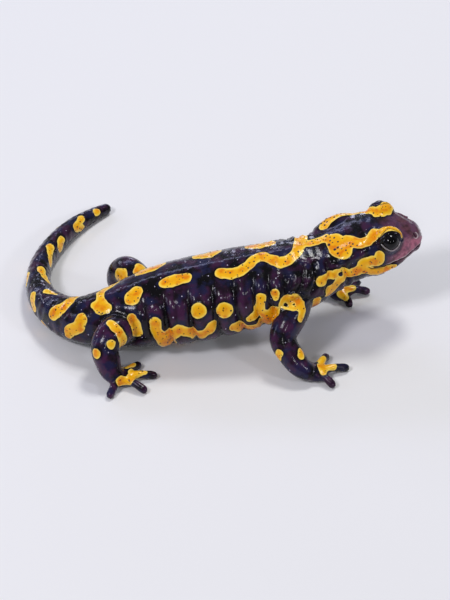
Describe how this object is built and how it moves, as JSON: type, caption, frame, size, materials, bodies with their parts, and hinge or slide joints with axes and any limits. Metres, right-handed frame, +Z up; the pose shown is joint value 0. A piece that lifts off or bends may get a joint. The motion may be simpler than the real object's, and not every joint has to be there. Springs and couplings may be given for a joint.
{
  "type": "fire salamander figure",
  "caption": "Life-size still figure of a stout black and yellow salamander, standing with its head raised and its tail swept round to its left.",
  "frame": {"origin": "middle of the bounding box, at the floor that the soles and tail rest on", "axes": "+X towards the head, +Y to the animal's left, +Z up"},
  "size_m": [0.1283, 0.1046, 0.0383],
  "materials": {
    "wet black skin": "wet and glossy, with golden yellow blotches",
    "dark wet eye": "polished and wet"
  },
  "bodies": {
    "root": {"head": "wet black skin", "lower_jaw": "wet black skin", "neck": "wet black skin", "chest": "wet black skin", "belly": "wet black skin", "loins": "wet black skin", "pelvis": "wet black skin", "tail_root": "wet black skin", "tail_bend": "wet black skin", "tail_middle": "wet black skin", "tail_tip": "wet black skin", "right_upper_arm": "wet black skin", "right_forearm": "wet black skin", "right_hand": "wet black skin", "left_upper_arm": "wet black skin", "left_forearm": "wet black skin", "left_hand": "wet black skin", "right_thigh": "wet black skin", "right_shank": "wet black skin", "right_foot": "wet black skin", "left_thigh": "wet black skin", "left_shank": "wet black skin", "left_foot": "wet black skin", "eye_right": "dark wet eye", "eye_left": "dark wet eye"}
  },
  "joints": []
}
